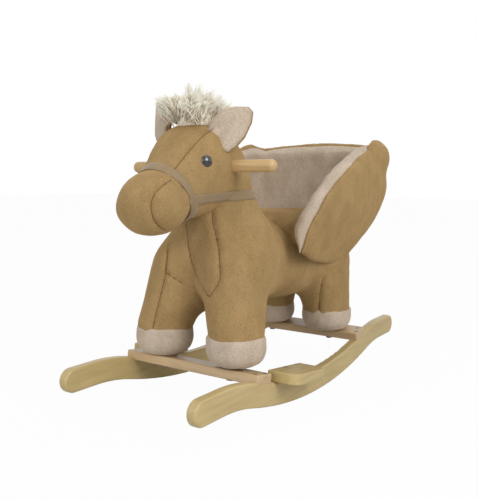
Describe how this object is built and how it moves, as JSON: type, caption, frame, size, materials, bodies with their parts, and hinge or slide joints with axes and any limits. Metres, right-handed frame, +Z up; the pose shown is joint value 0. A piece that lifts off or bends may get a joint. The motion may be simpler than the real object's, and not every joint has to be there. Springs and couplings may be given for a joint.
{
  "type": "plush rocking horse",
  "caption": "Plush rocking horse with a padded bucket seat, a wooden handle through its head and footrests, on a pair of curved wooden rockers.",
  "frame": {"origin": "on the floor, midway between the two rockers under their lowest point", "axes": "+X towards the horse's nose, +Y to the horse's left, +Z up"},
  "size_m": [0.7348, 0.364, 0.532],
  "materials": {
    "rocker_wood": "satin lacquer on pale solid pine",
    "crossbar_wood": "satin lacquer on pale solid pine",
    "inner_wood": "raw",
    "handle_wood": "clear lacquer on honey-coloured dowel",
    "screw_steel": "zinc plated",
    "tan_plush": "short-pile plush",
    "cream_plush": "short-pile plush",
    "mane_pile": "long shaggy pile",
    "ribbon": "woven ribbon",
    "eye_plastic": "gloss",
    "washer_plastic": "moulded",
    "foam": "open-cell foam"
  },
  "bodies": {
    "root": {"left_rocker": "rocker_wood", "right_rocker": "rocker_wood", "left_footrest": "rocker_wood", "right_footrest": "rocker_wood", "front_crossbar": "crossbar_wood", "rear_crossbar": "crossbar_wood", "front_left_leg_post": "inner_wood", "front_right_leg_post": "inner_wood", "rear_left_leg_post": "inner_wood", "rear_right_leg_post": "inner_wood", "seat_board": "inner_wood", "head_board": "inner_wood", "back_stiffener": "inner_wood", "left_seat_stiffener": "inner_wood", "right_seat_stiffener": "inner_wood", "handle_dowel": "handle_wood", "crossbar_screws": "screw_steel", "footrest_screws": "screw_steel", "frame_screws": "screw_steel", "leg_bolts": "screw_steel", "handle_pin": "screw_steel", "torso": "tan_plush", "head": "tan_plush", "muzzle": "tan_plush", "left_ear": "tan_plush", "right_ear": "tan_plush", "seat_shell": "tan_plush", "front_left_leg": "tan_plush", "front_right_leg": "tan_plush", "rear_left_leg": "tan_plush", "rear_right_leg": "tan_plush", "left_ear_lining": "cream_plush", "right_ear_lining": "cream_plush", "seat_lining": "cream_plush", "front_left_hoof": "cream_plush", "front_right_hoof": "cream_plush", "rear_left_hoof": "cream_plush", "rear_right_hoof": "cream_plush", "mane": "mane_pile", "tail": "mane_pile", "noseband": "ribbon", "cheek_ribbons": "ribbon", "left_eye": "eye_plastic", "right_eye": "eye_plastic", "eye_washers": "washer_plastic", "seat_foam": "foam"}
  },
  "joints": []
}
